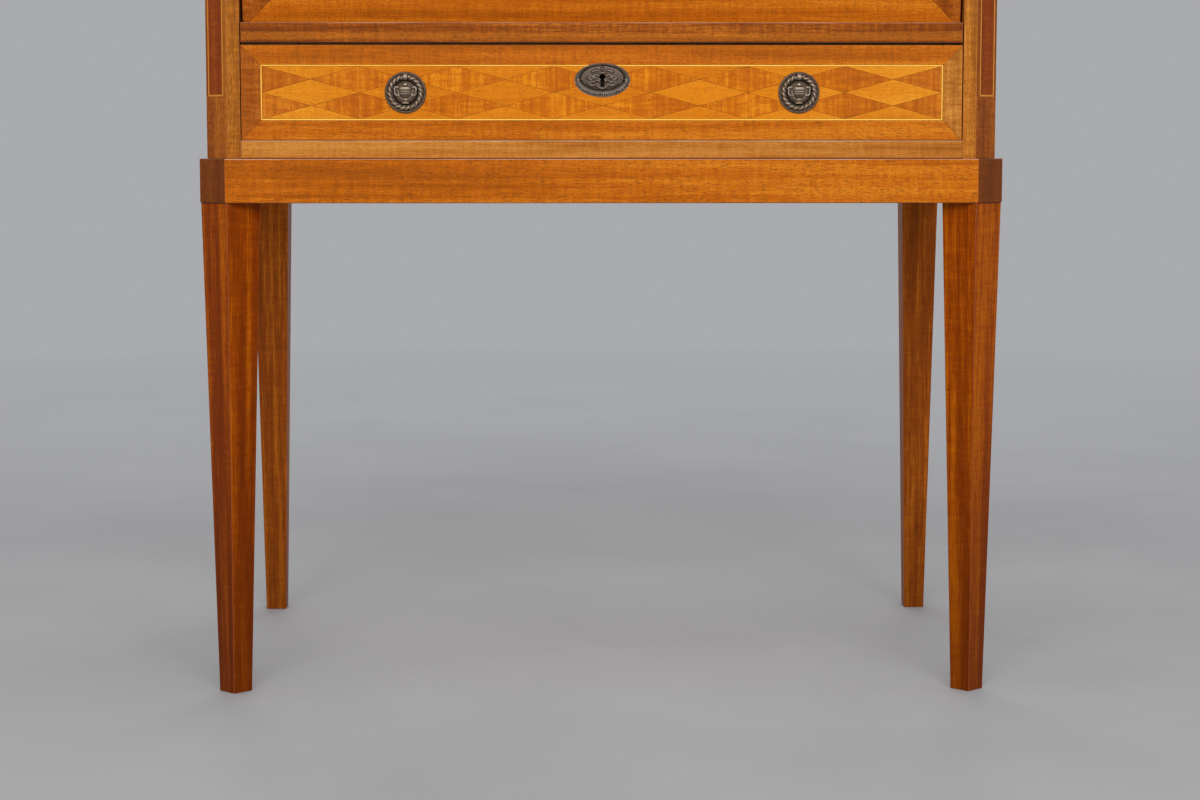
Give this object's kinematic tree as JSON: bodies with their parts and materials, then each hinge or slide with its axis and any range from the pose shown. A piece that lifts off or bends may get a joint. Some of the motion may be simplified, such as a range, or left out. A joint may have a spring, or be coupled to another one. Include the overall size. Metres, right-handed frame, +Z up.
{
  "type": "cylinder desk",
  "caption": "Writing desk on tapered square legs with a lozenge-veneered drawer, a pull-out writing slide and a curved cylinder that turns back over pigeonholes.",
  "frame": {"origin": "on the floor, under the middle of the desk", "axes": "+X to the right of a person facing the desk, +Y to the back, +Z up"},
  "size_m": [0.912, 0.575, 1.151],
  "materials": {
    "mahogany": "satin french polish",
    "lining_oak": "bare planed wood",
    "aged_brass": "dark aged brass",
    "lock_steel": "dull steel",
    "writing_leather": "worn dyed leather"
  },
  "bodies": {
    "desk": {"back_apron": "mahogany", "back_boards": "lining_oak", "back_corner_blocks": "mahogany", "case_floor": "mahogany", "drawer_dividers": "mahogany", "drawer_guides": "lining_oak", "fitment_back": "mahogany", "fitment_floor": "mahogany", "fitment_shelf": "mahogany", "fitment_sides": "mahogany", "fitment_top": "mahogany", "frieze_rail": "mahogany", "frieze_sides": "mahogany", "front_apron": "mahogany", "front_corner_blocks": "mahogany", "left_apron": "mahogany", "left_back_leg": "mahogany", "left_front_leg": "mahogany", "left_side": "mahogany", "left_stile": "mahogany", "lock_rail": "lining_oak", "pigeonhole_dividers": "mahogany", "pivot_blocks": "lining_oak", "right_apron": "mahogany", "right_back_leg": "mahogany", "right_front_leg": "mahogany", "right_side": "mahogany", "right_stile": "mahogany", "slide_runners": "lining_oak", "top_board": "mahogany"},
    "cylinder": {"cylinder_shell": "mahogany", "left_arm": "mahogany", "right_arm": "mahogany", "pivot_pins": "aged_brass", "cylinder_lock_case": "lock_steel", "cylinder_escutcheon": "aged_brass", "cylinder_pull_plates": "aged_brass"},
    "cylinder_bolt": {"cylinder_lock_bolt": "lock_steel"},
    "cylinder_left_ring": {"cylinder_left_ring": "aged_brass"},
    "cylinder_right_ring": {"cylinder_right_ring": "aged_brass"},
    "writing_slide": {"slide_rail": "mahogany", "slide_board": "mahogany", "leather_panel": "writing_leather"},
    "main_drawer": {"drawer_front": "mahogany", "drawer_left_side": "lining_oak", "drawer_right_side": "lining_oak", "drawer_back": "lining_oak", "drawer_bottom": "lining_oak", "drawer_lock_case": "lock_steel", "drawer_escutcheon": "aged_brass", "drawer_pull_plates": "aged_brass"},
    "lock_bolt": {"drawer_lock_bolt": "lock_steel"},
    "drawer_left_ring": {"drawer_left_ring": "aged_brass"},
    "drawer_right_ring": {"drawer_right_ring": "aged_brass"},
    "left_small_drawer": {"left_small_front": "mahogany", "left_small_tray": "lining_oak", "left_small_knob": "aged_brass"},
    "right_small_drawer": {"right_small_front": "mahogany", "right_small_tray": "lining_oak", "right_small_knob": "aged_brass"}
  },
  "joints": [
    {"name": "cylinder_turn", "type": "hinge", "parent": "desk", "child": "cylinder", "pos_m": [0, 0.0345, 0.815], "axis": [-1, 0, 0], "range_deg": [0, 60]},
    {"name": "slide_pull", "type": "slide", "parent": "desk", "child": "writing_slide", "axis": [0, -1, 0], "range_m": [0, 0.24]},
    {"name": "drawer_pull", "type": "slide", "parent": "desk", "child": "main_drawer", "axis": [0, -1, 0], "range_m": [0, 0.36]},
    {"name": "lock_bolt_throw", "type": "slide", "parent": "main_drawer", "child": "lock_bolt", "axis": [0, 0, 1], "range_m": [0, 0.008]},
    {"name": "cylinder_bolt_throw", "type": "slide", "parent": "cylinder", "child": "cylinder_bolt", "axis": [0, 0, -1], "range_m": [0, 0.008]},
    {"name": "drawer_left_ring_swing", "type": "hinge", "parent": "main_drawer", "child": "drawer_left_ring", "pos_m": [-0.218, -0.2842, 0.6953], "axis": [-1, 0, 0], "range_deg": [0, 85]},
    {"name": "drawer_right_ring_swing", "type": "hinge", "parent": "main_drawer", "child": "drawer_right_ring", "pos_m": [0.218, -0.2842, 0.6953], "axis": [-1, 0, 0], "range_deg": [0, 85]},
    {"name": "cylinder_left_ring_swing", "type": "hinge", "parent": "cylinder", "child": "cylinder_left_ring", "pos_m": [-0.218, -0.2773, 0.8322], "axis": [-1, 0, 0], "range_deg": [0, 85]},
    {"name": "cylinder_right_ring_swing", "type": "hinge", "parent": "cylinder", "child": "cylinder_right_ring", "pos_m": [0.218, -0.2773, 0.8322], "axis": [-1, 0, 0], "range_deg": [0, 85]},
    {"name": "left_small_drawer_pull", "type": "slide", "parent": "desk", "child": "left_small_drawer", "axis": [0, -1, 0], "range_m": [0, 0.13]},
    {"name": "right_small_drawer_pull", "type": "slide", "parent": "desk", "child": "right_small_drawer", "axis": [0, -1, 0], "range_m": [0, 0.13]}
  ]
}
